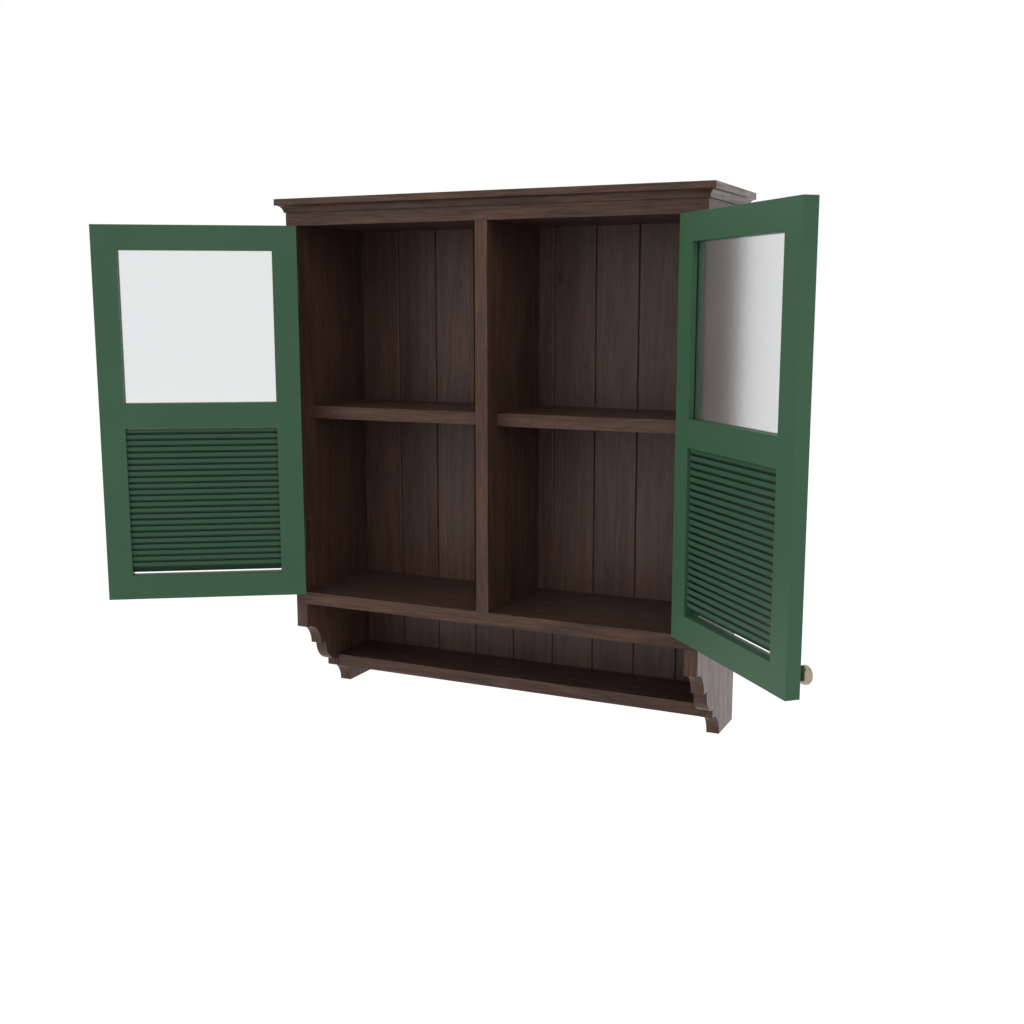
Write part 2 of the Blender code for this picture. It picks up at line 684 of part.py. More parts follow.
def build_knob(label, side):
    x, z = knob_place(side)
    return turned(f"{label}_door_knob", knob_profile(), (x, FRONT, z), 24)


def build_door_magnet(label, side):
    high = DOOR_TOP - JOINT_GAP
    return rod(f"{label}_door_magnet", magnet_place(side), MAGNET_RADIUS, "Z", high - MAGNET_LENGTH, high)


def hang(label, side, angle, pieces):
    """Turn the pieces of a shut door open about the hinge axis."""
    pivot = bpy.data.objects.new(f"{label}_door_pivot", None)
    bpy.context.scene.collection.objects.link(pivot)
    pivot.location = (side * AXIS_X, AXIS_Y, MIDDLE)
    pivot.rotation_euler = (0, 0, side * angle)
    to_pivot = Matrix.Translation(-Vector(pivot.location))
    for piece in pieces:
        piece.data.transform(to_pivot)
        piece.parent = pivot


# Finishes

def make_finish(name):
    colour, roughness, metallic = FINISHES[name]
    material = bpy.data.materials.new(name)
    material.use_nodes = True
    shader = material.node_tree.nodes["Principled BSDF"]
    shader.inputs["Base Color"].default_value = colour
    shader.inputs["Roughness"].default_value = roughness
    shader.inputs["Metallic"].default_value = metallic
    material.diffuse_color = colour
    return material


def apply_finish(material, pieces):
    for piece in pieces:
        piece.data.materials.clear()
        piece.data.materials.append(material)
        piece.data.shade_smooth()
        piece.data.set_sharp_from_angle(angle=math.radians(35))


def main():
    for item in list(bpy.data.objects):
        bpy.data.objects.remove(item)

    groups = {name: [] for name in FINISHES}
    groups["stained_wood"] += [build_bottom_board(), build_top_board(), build_divider(), build_low_shelf()]
    groups["stained_wood"] += build_back_boards() + build_cornice()

    for (label, side), angle in zip(SIDES.items(), (LEFT_DOOR_ANGLE, RIGHT_DOOR_ANGLE)):
        groups["stained_wood"] += [build_side_panel(label, side), build_bracket(label, side)]
        groups["stained_wood"].append(build_shelf(label, side))
        groups["steel"] += [build_hanger(label, side), build_top_magnet(label, side)]

        painted = [build_hinge_stile(label, side), build_lock_stile(label, side), build_louvre(label, side)]
        painted += [build_rail(label, side, place) for place in RAIL_LIMITS]
        glass = build_pane(label, side)
        knob = build_knob(label, side)
        magnet = build_door_magnet(label, side)
        door_leaves = []
        for place, level in HINGE_LEVELS.items():
            name = f"{label}_{place}_hinge"
            door_leaves.append(build_leaf(f"{name}_door_leaf", side, level, HINGE_EDGE, -1, True))
            frame_leaf = build_leaf(f"{name}_frame_leaf", side, level, INNER_FACE, 1, False)
            groups["dark_bronze"] += [frame_leaf, build_pin(f"{name}_pin", side, level)]
        hang(label, side, angle, painted + [glass, knob, magnet] + door_leaves)

        groups["green_paint"] += painted
        groups["frosted_glass"].append(glass)
        groups["pale_brass"].append(knob)
        groups["steel"].append(magnet)
        groups["dark_bronze"] += door_leaves

    for name, pieces in groups.items():
        apply_finish(make_finish(name), pieces)


main()
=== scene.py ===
"""Looks of a wall-hung cabinet: dark stained boards, green painted doors, frosted panes, a white studio."""

import json
import math
from typing import NamedTuple

import bmesh
import bpy
from mathutils import Matrix, Vector


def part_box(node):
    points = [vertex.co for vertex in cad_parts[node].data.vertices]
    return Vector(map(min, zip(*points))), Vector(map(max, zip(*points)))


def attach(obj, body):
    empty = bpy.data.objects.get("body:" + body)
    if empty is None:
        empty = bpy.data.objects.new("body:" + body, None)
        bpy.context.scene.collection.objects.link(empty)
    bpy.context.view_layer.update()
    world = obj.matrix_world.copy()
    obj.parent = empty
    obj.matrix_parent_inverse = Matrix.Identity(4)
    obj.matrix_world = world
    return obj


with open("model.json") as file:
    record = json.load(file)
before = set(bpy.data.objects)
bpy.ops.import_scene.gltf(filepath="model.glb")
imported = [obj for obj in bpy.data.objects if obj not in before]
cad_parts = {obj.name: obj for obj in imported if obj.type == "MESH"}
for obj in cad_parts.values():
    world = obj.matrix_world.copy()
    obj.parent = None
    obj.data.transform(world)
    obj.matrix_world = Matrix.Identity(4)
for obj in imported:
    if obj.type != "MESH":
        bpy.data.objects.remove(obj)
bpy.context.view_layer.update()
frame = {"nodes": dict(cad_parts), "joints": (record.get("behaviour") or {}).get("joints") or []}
nodes = frame["nodes"]

# Sizes of the part that the looks follow, in metres
SIDES = {"left": -1, "right": 1}
BOARD = 0.020
FRONT = -0.201
INNER_FACE = 0.320
HALF_WIDTH = INNER_FACE + BOARD
SIDE_MIDDLE = INNER_FACE + BOARD / 2
OPENING_BOTTOM = BOARD
OPENING_TOP = 0.604
CARCASS_TOP = OPENING_TOP + BOARD
JOINT_GAP = 0.0003
BACK_FACE = -0.012
BACK_BOARD_COUNT = 9
BACK_PITCH = 2 * INNER_FACE / BACK_BOARD_COUNT
BACK_VEE = 0.0014
DOOR_GAP = 0.001
DOOR_THICKNESS = 0.020
DOOR_WIDTH = 0.308
STILE = 0.038
RAILS = ("bottom", "middle", "top")
HINGE_EDGE = INNER_FACE - DOOR_GAP
HINGE_LEVELS = {"upper": 0.513, "lower": 0.111}
AXIS_FORWARD = 0.0004
BARREL_RADIUS = 0.0024
LEAF_WIDTH = 0.014
HANGER_MIDDLE = 0.559

# Details that only the looks have, in metres
EASED_WOOD = 0.0005
EASED_PAINT = 0.0004
PAINT_DEPTH = 0.005
SEAM_SINK = 0.00025
SCREW_RADIUS = 0.0026
SCREW_SLOT = 0.0006
SCREW_RISE = 0.0002
SCREW_PITCH = 0.0165
SCREW_STAGGER = 0.0014
HANGER_SCREW_RADIUS = 0.0023
HANGER_SCREW_PITCH = 0.0175
STOPPED_SEAM = 5  # back boards to the left of the seam that is stopped

# Screw heads: turns of their slots in radians, widths over their radius, heights over their rise
SCREW_TURN = 0.4
SCREW_TURN_STEP = 1.1
HANGER_SCREW_TURN = 0.8
SLOT_FLOOR_WIDTH = 0.97
SLOT_FLOOR_HEIGHTS = (-0.6, 0.1)
HEAD_RINGS = ((1.0, -0.5), (1.0, 0.5), (0.86, 1.0))
SLOT_FLOOR_STEPS = 24
HALF_HEAD_STEPS = 10

# Hinge leaves: distance of their face from the middle of the cabinet, and which way it looks
LEAF_FACES = {"frame": (INNER_FACE, -1), "door": (HINGE_EDGE, 1)}

# Surfaces: edges over the eased angle are eased, except within a short reach of a joint
WELD_REACH = 0.00001
JOINT_REACH = 0.0006
FLAT_ANGLE = math.radians(0.5)
EASED_ANGLE = math.radians(30)
SMOOTH_ANGLE = math.radians(35)
EASED_SEGMENTS = 2

# Camera fitted to the edges in the photograph
CAMERA_PLACE = (0.8215, -1.8506, 0.4826)
CAMERA_TILT = math.radians(80.523)
CAMERA_TURN = math.radians(25.06)
CAMERA_LENS = 43.61
SENSOR_WIDTH = 36.0

# Studio
FLOOR_LEVEL = -1.0
FLOOR_REACH = 12.0
FLOOR_GREY = 0.40
FLOOR_ROUGHNESS = 0.9
FLOOR_GLOW = 0.50
SKY_LIGHT = 1.36
KEY_PLACE = (-3.2, -1.3, 1.0)
KEY_TARGET = (0.4, -0.3, 0.3)
KEY_SIZE = 2.0
KEY_POWER = 15.0

# Colours, linear
WHITE = (1.0, 1.0, 1.0)
STAIN_DARK = (0.0300, 0.0145, 0.0092)
STAIN_MIDDLE = (0.0680, 0.0350, 0.0233)
STAIN_LIGHT = (0.1100, 0.0590, 0.0405)
STAIN_GREY = (0.0600, 0.0370, 0.0285)
WARM_FLECK = (1.28, 0.95, 0.78)
KNOT_COLOUR = (0.0140, 0.0080, 0.0060)
GREEN = (0.0435, 0.1035, 0.0575)
GREEN_DEEP = (0.0410, 0.0985, 0.0545)
GLASS = (0.785, 0.792, 0.800)
GLASS_SHADOW = (0.86, 0.87, 0.88)
BRASS = (0.385, 0.340, 0.245)
BRONZE = (0.062, 0.035, 0.025)
STEEL = (0.560, 0.560, 0.570)

# Paint, glass and metal: waves are counted in a metre, reliefs are a strength and a depth in metres
NOISE_RANGE = (0.3, 0.7)
PAINT_IOR = 1.235
PAINT_DRIFT_WAVES = 6.0
PAINT_PEEL_WAVES = 420.0
PAINT_ROUGHNESS = (0.36, 0.42)
PAINT_RELIEF = (0.05, 0.0003)
# Painted shade: the slats take the frame's green a shade darker, for the shade among them
SLAT_PAINTED_SHADE = 0.82
GLASS_IOR = 1.40
GLASS_GRIT_WAVES = 900.0
GLASS_ROUGHNESS = (0.15, 0.19)
GLASS_RELIEF = (0.05, 0.0002)
METAL_WEAR_WAVES = 160.0
METAL_WEAR_OCTAVES = 3.0
METAL_WEAR_SHADE = 0.82
SCRATCH_WAVES = 900.0
SCRATCH_STRETCH = (1.0, 1.0, 6.0)
SCRATCH_DEPTH = 0.0002
SCRATCH_SMOOTHER = 0.05
SCRATCH_ROUGHER = 0.08


class Layer(NamedTuple):
    """Noise along the grain: waves a metre across it, their width over their length, and its octaves."""
    waves: float
    slimness: float
    octaves: float
    roughness: float = 0.55


class Varnish(NamedTuple):
    """Film on a board: a refractive index, which sets how much white it mirrors, and a span of roughness."""
    index: float
    dullest: float
    glossiest: float


class Knot(NamedTuple):
    """Small knot on the back: its place, half its width, and how dark it is."""
    x: float
    z: float
    radius: float
    depth: float


# Wood: layers of its figure, how much each shows, and the spans of noise that it is read from
RINGS = Layer(15.0, 0.055, 2.0)
STREAKS = Layer(290.0, 0.050, 4.0, 0.6)
PORES = Layer(700.0, 0.045, 2.0)
PATCHES = Layer(9.0, 0.35, 2.0)
GREY_DRIFT = Layer(6.0, 0.4, 1.0)
GREY_STREAKS = Layer(75.0, 0.045, 2.0)
FLECKS = Layer(150.0, 0.08, 3.0)
FIGURE_STEP = (0.731, 0.417, 0.293)  # metres of figure from one board to the next
WANDER_WAVES = 5.0
WANDER_REACH = 0.014
RING_COUNT = 9.0
RING_SHADE = 0.16
PATCH_SHADE = 0.55
SHADE_LEVEL = 0.145
STAIN_STOPS = ((0.18, STAIN_DARK), (0.50, STAIN_MIDDLE), (0.86, STAIN_LIGHT))
GREY_SPAN = (0.25, 0.55)
GREY_SHARE = 0.55
FLECK_RANGE = (0.48, 0.68)
PIT_RANGE = (0.36, 0.52)
PIT_SHADE = 0.72
PORE_RELIEF = 0.6
WOOD_RELIEF = (0.25, 0.0004)
STREAK_RANGE = (0.25, 0.75)
# Slant of a face over which the painted light and shade of its top fades in
PAINTED_TOP_RANGE = (0.5, 0.9)

SATIN = Varnish(1.31, 0.46, 0.36)
BUFFED = Varnish(1.395, 0.46, 0.36)
RUBBED = Varnish(1.24, 0.46, 0.30)
POLISHED = Varnish(1.335, 0.44, 0.20)

KNOTS = (
    Knot(0.0472, 0.5246, 0.0070, 0.85),
    Knot(0.1324, 0.5648, 0.0045, 0.50),
    Knot(0.0911, 0.3872, 0.0055, 0.45),
    Knot(-0.1310, 0.5150, 0.0060, 0.40),
    Knot(-0.1170, 0.4545, 0.0045, 0.35),
)
KNOT_SLIMNESS = 0.55
KNOT_HEART = 0.15
KNOT_SWIRL = 0.4  # how far a knot pushes the rings round it


class Board(NamedTuple):
    """Looks of one board.

    Tone brightens its stain, warmth goes from grey to orange, figure is the contrast of its streaks,
    slimness is their width over their length, and upper tints its upper faces: painted shade where it
    darkens them, painted light where it lightens them.
    """
    grain: str
    tone: float = 1.0
    warmth: float = 0.5
    figure: float = 1.25
    slimness: float = STREAKS.slimness
    varnish: Varnish = SATIN
    upper: tuple = WHITE


BOARDS = {
    "top_board": Board("X", tone=1.04),
    # Painted shade: the tops of the bay floors are tinted darker than the front of the board
    "bottom_board": Board("X", tone=1.03, upper=(0.83, 0.89, 0.93)),
    # Painted light: the top of the lower shelf is tinted lighter and greyer, a painted sheen
    "lower_shelf": Board("X", tone=1.05, upper=(1.05, 1.15, 1.25)),
    "left_shelf": Board("X", tone=1.08),
    "right_shelf": Board("X"),
    "cornice_front": Board("X", tone=1.04),
    "cornice_left": Board("Y", varnish=POLISHED),
    "cornice_right": Board("Y", warmth=0.9, varnish=POLISHED),
    "left_side_panel": Board("Z", tone=0.82, warmth=0.8, figure=1.0, varnish=BUFFED),
    "right_side_panel": Board("Z", tone=0.90, warmth=1.0, varnish=RUBBED),
    "centre_divider": Board("Z", warmth=0.7, figure=1.0),
    "left_bracket": Board("Z"),
    "right_bracket": Board("Z", warmth=0.8, varnish=POLISHED),
}

# Back boards, with the tone and warmth of each from left to right
BACK_FIGURE = 0.46
BACK_SLIMNESS = 0.028
BACK_TONES = (0.80, 0.86, 1.15, 1.00, 1.00, 1.05, 1.05, 1.03, 1.00)
BACK_WARMTHS = (0.8, 0.8, 0.6, 0.5, 0.6, 0.5, 0.5, 0.5, 0.5)
for number, (tone, warmth) in enumerate(zip(BACK_TONES, BACK_WARMTHS), 1):
    BOARDS[f"back_board_{number}"] = Board("Z", tone, warmth, BACK_FIGURE, BACK_SLIMNESS, BUFFED)

# Joint planes of the boards, each as a normal and its offset
END_PLANES = [((0, 0, 1), level) for level in (0.0, OPENING_BOTTOM, OPENING_TOP, CARCASS_TOP)]
SHELF_PLANES = [((1, 0, 0), level) for level in (-INNER_FACE, -BOARD / 2, BOARD / 2, INNER_FACE)]
MITRE_PLANES = [((side, 1, 0), HALF_WIDTH + FRONT) for side in SIDES.values()] + [((0, 0, 1), CARCASS_TOP)]


# Node tools

def feed(tree, target, inputs):
    """Set the inputs of a node, or link those that are given a socket."""
    for key, value in inputs.items():
        if isinstance(value, bpy.types.NodeSocket):
            tree.links.new(value, target.inputs[key])
        else:
            target.inputs[key].default_value = value


def node(tree, kind, inputs=None, **settings):
    """Add a node with its settings and inputs."""
    made = tree.nodes.new(kind)
    for key, value in settings.items():
        setattr(made, key, value)
    feed(tree, made, inputs or {})
    return made


def calc(tree, operation, *values):
    """Result of a sum on numbers."""
    return node(tree, "ShaderNodeMath", dict(enumerate(values)), operation=operation).outputs[0]


def vector(tree, operation, *values):
    """Result of a sum on vectors that gives a vector."""
    return node(tree, "ShaderNodeVectorMath", dict(enumerate(values)), operation=operation).outputs["Vector"]


def measure(tree, operation, *values):
    """Result of a sum on vectors that gives a number."""
    return node(tree, "ShaderNodeVectorMath", dict(enumerate(values)), operation=operation).outputs["Value"]


def remap(tree, value, span, result):
    """Carry a span of values smoothly over to another."""
    inputs = {"Value": value, "From Min": span[0], "From Max": span[1]}
    inputs.update({"To Min": result[0], "To Max": result[1]})
    return node(tree, "ShaderNodeMapRange", inputs, interpolation_type="SMOOTHSTEP").outputs[0]


def noise(tree, place, waves, octaves=2.0, roughness=0.55):
    inputs = {"Vector": place, "Scale": waves, "Detail": octaves, "Roughness": roughness}
    return node(tree, "ShaderNodeTexNoise", inputs).outputs["Fac"]


def bump(tree, height, strength, distance):
    inputs = {"Height": height, "Strength": strength, "Distance": distance}
    return node(tree, "ShaderNodeBump", inputs).outputs["Normal"]


def rgba(colour):
    """A colour with full opacity, or the socket that gives the colour."""
    if isinstance(colour, bpy.types.NodeSocket):
        return colour
    return (*colour, 1.0)


def mix(tree, factor, first, second, blend="MIX"):
    """Mix two colours; the node's colour sockets come after those for numbers and vectors."""
    made = node(tree, "ShaderNodeMix", data_type="RGBA", blend_type=blend)
    feed(tree, made, {0: factor, 6: rgba(first), 7: rgba(second)})
    return made.outputs[2]


def tinted(tree, colour, tint):
    return mix(tree, 1.0, colour, tint, "MULTIPLY")


def shaded(colour, share):
    return tuple(share * part for part in colour)


def object_place(tree):
    return node(tree, "ShaderNodeTexCoord").outputs["Object"]


def new_material(name):
    material = bpy.data.materials.new(name)
    material.use_nodes = True
    tree = material.node_tree
    return material, tree, tree.nodes["Principled BSDF"]


# Materials

def wandering(tree, place, seed):
    """Place in a board's own stretch of figure, pushed about so that the grain isn't dead straight."""
    shifted = vector(tree, "ADD", place, tuple(seed * step for step in FIGURE_STEP))
    inputs = {"Vector": shifted, "Scale": WANDER_WAVES, "Detail": 1.0}
    wander = node(tree, "ShaderNodeTexNoise", inputs).outputs["Color"]
    push = vector(tree, "SUBTRACT", wander, (0.5, 0.5, 0.5))
    return vector(tree, "ADD", shifted, vector(tree, "MULTIPLY", push, (WANDER_REACH,) * 3))


def knot_field(tree, place, knot):
    """Depth of colour of a knot on an upright board, greatest at its heart and nothing at its edge."""
    offset = vector(tree, "SUBTRACT", place, (knot.x, 0.0, knot.z))
    flat = vector(tree, "MULTIPLY", offset, (1.0 / knot.radius, 0.0, KNOT_SLIMNESS / knot.radius))
    return remap(tree, measure(tree, "LENGTH", flat), (KNOT_HEART, 1.0), (knot.depth, 0.0))


def stain(tree, shade):
    """Colour of the stain, from its darkest shade to its lightest."""
    ramp = node(tree, "ShaderNodeValToRGB", {"Fac": shade})
    stops = ramp.color_ramp.elements
    stops.new(0.5)
    for stop, (position, colour) in zip(stops, STAIN_STOPS):
        stop.position = position
        stop.color = rgba(colour)
    return ramp.outputs["Color"]


def stained_wood(name, seed, board, knots):
    """Dark stained, varnished board, with its figure and pores along its grain."""
    material, tree, shader = new_material(name)
    coordinates = node(tree, "ShaderNodeTexCoord").outputs
    bent = wandering(tree, coordinates["Object"], seed)
    eyes = [knot_field(tree, coordinates["Object"], knot) for knot in knots]

    def layer(kind):
        slim = tuple(kind.slimness if axis == board.grain else 1.0 for axis in "XYZ")
        return noise(tree, vector(tree, "MULTIPLY", bent, slim), kind.waves, kind.octaves, kind.roughness)

    streaks = layer(STREAKS._replace(slimness=board.slimness))
    pores = layer(PORES)

    # Shade of the stain
    figure = layer(RINGS)
    for eye in eyes:
        figure = calc(tree, "MULTIPLY_ADD", eye, KNOT_SWIRL, figure)
    rings = calc(tree, "PINGPONG", calc(tree, "MULTIPLY", figure, RING_COUNT), 0.5)
    rings = remap(tree, rings, (0.0, 0.5), (0.0, 1.0))
    shade = calc(tree, "MULTIPLY_ADD", streaks, board.figure, SHADE_LEVEL - board.figure / 2)
    shade = calc(tree, "MULTIPLY_ADD", rings, RING_SHADE, shade)
    shade = calc(tree, "MULTIPLY_ADD", layer(PATCHES), PATCH_SHADE, shade)
    colour = stain(tree, shade)

    # Grey drift and warm flecks
    span = [grey - board.warmth for grey in GREY_SPAN]
    drift = remap(tree, layer(GREY_DRIFT), NOISE_RANGE, span)
    greyness = calc(tree, "ADD", layer(GREY_STREAKS), drift)
    colour = mix(tree, greyness, colour, mix(tree, GREY_SHARE, colour, STAIN_GREY))
    flecks = remap(tree, layer(FLECKS), FLECK_RANGE, (0.0, board.warmth))
    colour = mix(tree, flecks, colour, tinted(tree, colour, WARM_FLECK))

    # Pores, knots, the tone of the board, and painted light and shade on its upper faces
    colour = tinted(tree, colour, remap(tree, pores, PIT_RANGE, (PIT_SHADE, 1.0)))
    for eye in eyes:
        colour = mix(tree, eye, colour, KNOT_COLOUR)
    colour = tinted(tree, colour, shaded(WHITE, board.tone))
    # Painted light and shade: faces that look upward take the board's upper tint, darker or lighter
    rise = node(tree, "ShaderNodeSeparateXYZ", {0: coordinates["Normal"]}).outputs["Z"]
    painted_top_mask = remap(tree, rise, PAINTED_TOP_RANGE, (0.0, 1.0))
    colour = mix(tree, painted_top_mask, colour, tinted(tree, colour, board.upper))

    varnish = board.varnish
    relief = calc(tree, "MULTIPLY_ADD", pores, PORE_RELIEF, streaks)
    feed(tree, shader, {
        "Base Color": colour,
        "Roughness": remap(tree, streaks, STREAK_RANGE, (varnish.dullest, varnish.glossiest)),
        "Normal": bump(tree, relief, *WOOD_RELIEF),
        "IOR": varnish.index,
    })
    return material


def green_paint(name, tone):
    """Satin paint: an even green with a little drift and a fine orange peel."""
    material, tree, shader = new_material(name)
    place = object_place(tree)
    drift = remap(tree, noise(tree, place, PAINT_DRIFT_WAVES), NOISE_RANGE, (0.0, 1.0))
    peel = noise(tree, place, PAINT_PEEL_WAVES)
    feed(tree, shader, {
        "Base Color": mix(tree, drift, shaded(GREEN_DEEP, tone), shaded(GREEN, tone)),
        "Roughness": remap(tree, peel, NOISE_RANGE, PAINT_ROUGHNESS),
        "Normal": bump(tree, peel, *PAINT_RELIEF),
        "IOR": PAINT_IOR,
    })
    return material


def frosted_glass(name):
    """Etched pane: it scatters what lies behind it, and lets light through to the boards."""
    material, tree, shader = new_material(name)
    grit = noise(tree, object_place(tree), GLASS_GRIT_WAVES)
    feed(tree, shader, {
        "Base Color": rgba(GLASS),
        "Transmission Weight": 1.0,
        "IOR": GLASS_IOR,
        "Roughness": remap(tree, grit, NOISE_RANGE, GLASS_ROUGHNESS),
        "Normal": bump(tree, grit, *GLASS_RELIEF),
    })
    clear = node(tree, "ShaderNodeBsdfTransparent", {"Color": rgba(GLASS_SHADOW)})
    in_shadow = node(tree, "ShaderNodeLightPath").outputs["Is Shadow Ray"]
    both = node(tree, "ShaderNodeMixShader", {0: in_shadow, 1: shader.outputs[0], 2: clear.outputs[0]})
    feed(tree, tree.nodes["Material Output"], {"Surface": both.outputs[0]})
    return material


def metal(name, colour, roughness, scratch, metallic=1.0):
    """Worn metal: fine scratches break up its gloss, and patches vary its colour a little."""
    material, tree, shader = new_material(name)
    place = object_place(tree)
    wear = remap(tree, noise(tree, place, METAL_WEAR_WAVES, METAL_WEAR_OCTAVES), NOISE_RANGE, (0.0, 1.0))
    scratches = noise(tree, vector(tree, "MULTIPLY", place, SCRATCH_STRETCH), SCRATCH_WAVES)
    span = (roughness - SCRATCH_SMOOTHER, roughness + SCRATCH_ROUGHER)
    feed(tree, shader, {
        "Base Color": mix(tree, wear, shaded(colour, METAL_WEAR_SHADE), colour),
        "Roughness": remap(tree, scratches, NOISE_RANGE, span),
        "Normal": bump(tree, scratches, scratch, SCRATCH_DEPTH),
        "Metallic": metallic,
    })
    return material


def make_finishes():
    """Finishes that several pieces share."""
    return {
        "paint": green_paint("green_paint", 1.0),
        # Painted shade: a darker copy of the door paint for the slats
        "shaded_slat_paint": green_paint("green_paint_slats_shaded", SLAT_PAINTED_SHADE),
        "glass": frosted_glass("frosted_glass"),
        "brass": metal("pale_brass", BRASS, roughness=0.24, scratch=0.04),
        "bronze": metal("dark_bronze", BRONZE, roughness=0.45, scratch=0.10, metallic=0.4),
        "steel": metal("steel", STEEL, roughness=0.33, scratch=0.10),
    }


# Surfaces of the solids

def reshape(group, shape, kind, inputs=None, **settings):
    """Add a step that changes a shape."""
    return node(group, kind, {"Geometry": shape, **(inputs or {})}, **settings).outputs[0]


def surface_group(name, joint_planes):
    """Steps that shade round faces smooth and mark the arrises to be eased.

    Edges that lie in a joint plane stay sharp, so that the joint stays closed.
    """
    group = bpy.data.node_groups.new(name, "GeometryNodeTree")
    for way in ("INPUT", "OUTPUT"):
        group.interface.new_socket("Geometry", in_out=way, socket_type="NodeSocketGeometry")
    shape = node(group, "NodeGroupInput").outputs[0]
    shape = reshape(group, shape, "GeometryNodeRemoveAttribute", {"Name": "custom_normal"})
    shape = reshape(group, shape, "GeometryNodeSetShadeSmooth", domain="FACE")
    angle = node(group, "GeometryNodeInputMeshEdgeAngle").outputs["Unsigned Angle"]
    limits = {0: angle, 1: SMOOTH_ANGLE}
    sharp = node(group, "FunctionNodeCompare", limits, operation="GREATER_THAN").outputs[0]
    creases = {"Selection": sharp, "Shade Smooth": False}
    shape = reshape(group, shape, "GeometryNodeSetShadeSmooth", creases, domain="EDGE")

    weight = calc(group, "GREATER_THAN", angle, EASED_ANGLE)
    position = node(group, "GeometryNodeInputPosition").outputs[0]
    for normal, offset in joint_planes:
        level = measure(group, "DOT_PRODUCT", position, normal)
        away = calc(group, "ABSOLUTE", calc(group, "SUBTRACT", level, offset))
        weight = calc(group, "MULTIPLY", weight, calc(group, "GREATER_THAN", away, JOINT_REACH))
    marks = {"Name": "bevel_weight_edge", "Value": weight}
    shape = reshape(group, shape, "GeometryNodeStoreNamedAttribute", marks, domain="EDGE")
    node(group, "NodeGroupOutput", {0: shape})
    return group


def dress(name, material, ease=0.0, joint_planes=()):
    """Give a solid its material, smooth its round faces and ease its arrises."""
    item = nodes[name]
    item.data.materials.clear()
    item.data.materials.append(material)
    weld = item.modifiers.new("weld", "WELD")
    weld.merge_threshold = WELD_REACH
    flat = item.modifiers.new("flat", "DECIMATE")
    flat.decimate_type = "DISSOLVE"
    flat.angle_limit = FLAT_ANGLE
    surface = item.modifiers.new("surface", "NODES")
    surface.node_group = surface_group(f"{name}_surface", joint_planes)
    if ease:
        arris = item.modifiers.new("arris", "BEVEL")
        arris.limit_method = "WEIGHT"
        arris.width = ease
        arris.segments = EASED_SEGMENTS
        normals = item.modifiers.new("normals", "WEIGHTED_NORMAL")
        normals.keep_sharp = True


def opening(label):
    """Turn that carries a shut door to the angle at which it rests."""
    joint = next(j for j in frame["joints"] if j["child"] == f"{label}_door")
    axis = Vector(joint["pos_m"])
    shut = math.radians(joint["range_deg"][0])
    turn = Matrix.Rotation(-SIDES[label] * shut, 4, "Z")
    return Matrix.Translation(axis) @ turn @ Matrix.Translation(-axis)


def shoulder_planes(label):
    """Planes of the joints between the stiles and rails of a door at rest."""
    side = SIDES[label]
    across = opening(label).to_3x3() @ Vector((-side, 0, 0))
    edge = opening(label) @ Vector((side * HINGE_EDGE, FRONT, 0))
    return [(tuple(across), across.dot(edge) + reach) for reach in (STILE, DOOR_WIDTH - STILE)]


def board_planes(name):
    """Planes of the joints at the ends of a board."""
    if "shelf" in name:
        return SHELF_PLANES
    if "cornice" in name:
        return MITRE_PLANES
    return END_PLANES


def knots_on(name):
    """Knots that fall on a board: only the back boards have any."""
    if not name.startswith("back_board"):
        return []
    low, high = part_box(name)
    return [knot for knot in KNOTS if low[0] < knot.x < high[0]]


def dress_boards():
    """Dress the boards, each with its own stretch of figure, and return their woods."""
    woods = {}
    for number, (name, board) in enumerate(BOARDS.items(), 1):
        woods[name] = stained_wood(f"wood_{name}", number, board, knots_on(name))
        dress(name, woods[name], EASED_WOOD, board_planes(name))
    return woods


def dress_side(label, finishes):
    """Dress one door and the fittings on its side of the cabinet."""
    planes = shoulder_planes(label)
    for piece in ("hinge_stile", "lock_stile", "top_rail", "middle_rail", "bottom_rail"):
        dress(f"{label}_door_{piece}", finishes["paint"], EASED_PAINT, planes)
    # The slats take the darker copy of the paint, as painted shade
    dress(f"{label}_door_louvre", finishes["shaded_slat_paint"], EASED_PAINT)
    dress(f"{label}_door_glass", finishes["glass"])
    dress(f"{label}_door_knob", finishes["brass"])
    for piece in ("door_magnet", "top_magnet", "hanger_plate"):
        dress(f"{label}_{piece}", finishes["steel"])
    for level in HINGE_LEVELS:
        for piece in ("frame_leaf", "door_leaf", "pin"):
            dress(f"{label}_{level}_hinge_{piece}", finishes["bronze"])


# Screw heads, paint in the joints and stopping

def loft_rings(bm, rings):
    """Closed skin through rings of points, capped at both ends."""
    loops = [[bm.verts.new(point) for point in ring] for ring in rings]
    count = len(loops[0])
    for low, high in zip(loops, loops[1:]):
        for k in range(count):
            bm.faces.new((low[k], low[(k + 1) % count], high[(k + 1) % count], high[k]))
    bm.faces.new(loops[0])
    bm.faces.new(loops[-1])


def upright_prism(bm, section, levels):
    """Prism with a section of (x, y) points between two levels."""
    loft_rings(bm, [[(x, y, z) for x, y in section] for z in levels])


def add_piece(name, bm, place, body, material):
    """Make a mesh piece that rides on a body and takes its finish from a slot."""
    bmesh.ops.recalc_face_normals(bm, faces=bm.faces)
    mesh = bpy.data.meshes.new(name)
    bm.to_mesh(mesh)
    bm.free()
    mesh.transform(place)
    mesh.materials.append(material)
    piece = bpy.data.objects.new(name, mesh)
    bpy.context.scene.collection.objects.link(piece)
    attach(piece, body)


def round_point(radius, angle):
    return Vector((radius * math.cos(angle), radius * math.sin(angle)))


def half_head(radius, turn):
    """Outline of one half of a slotted screw head, beside its slot."""
    start = math.asin(SCREW_SLOT / 2 / radius)
    step = (math.pi - 2 * start) / HALF_HEAD_STEPS
    return [round_point(radius, turn + start + step * k) for k in range(HALF_HEAD_STEPS + 1)]


